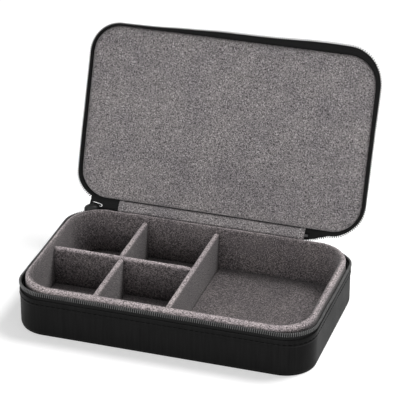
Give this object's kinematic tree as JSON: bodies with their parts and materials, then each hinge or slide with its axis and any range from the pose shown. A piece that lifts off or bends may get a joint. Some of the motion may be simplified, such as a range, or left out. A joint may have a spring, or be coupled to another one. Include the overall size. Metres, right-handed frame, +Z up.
{
  "type": "zip-around jewellery case",
  "caption": "Flat zip-around leather case, open, with a padded lid and a suede tray divided into compartments for cufflinks, rings and small jewellery.",
  "frame": {"origin": "centre of the underside of the lower half, on the surface it stands on", "axes": "+X along the width and the hinge, +Y to the back where the lid is hinged, +Z up"},
  "size_m": [0.1937, 0.1679, 0.1488],
  "materials": {
    "black_leather": "fine grain",
    "grey_suede": "short nap",
    "board": "plain",
    "foam": "open cell",
    "zip_tape": "woven",
    "thread": "twisted",
    "zip_coil": "satin",
    "black_metal": "semi-gloss",
    "bright_metal": "polished"
  },
  "bodies": {
    "base": {"base_band": "black_leather", "base_floor_board": "board", "base_wall_board": "board", "bottom_panel": "black_leather", "bottom_stop": "black_metal", "closed_zip_end": "zip_coil", "cross_divider": "grey_suede", "hinge_strip": "grey_suede", "lower_hem_stitches": "thread", "lower_top_stop": "black_metal", "lower_zip_tape": "zip_tape", "lower_zip_teeth": "zip_coil", "main_divider": "grey_suede", "short_divider_front": "grey_suede", "short_divider_rear": "grey_suede", "slider_bridge": "black_metal", "spine_lower_flap": "black_leather", "tray_floor": "grey_suede", "tray_wall": "grey_suede", "zip_slider": "black_metal"},
    "lid": {"lid_band": "black_leather", "lid_foam": "foam", "lid_hem_stitches": "thread", "lid_lining": "grey_suede", "lid_stiff_board": "board", "lid_top_panel": "black_leather", "lid_wall_board": "board", "spine_upper_flap": "black_leather", "upper_top_stop": "black_metal", "upper_zip_tape": "zip_tape", "upper_zip_teeth": "zip_coil"},
    "pull": {"pull_wire": "bright_metal"}
  },
  "joints": [
    {"name": "lid_hinge", "type": "hinge", "parent": "base", "child": "lid", "pos_m": [0, 0.05915, 0.03445], "axis": [1, 0, 0], "range_deg": [0, 110.3]},
    {"name": "pull_swing", "type": "hinge", "parent": "base", "child": "pull", "pos_m": [-0.08442, 0.05838, 0.03279], "axis": [0.36, -0.6762, 0.6428], "range_deg": [0, 15]}
  ]
}
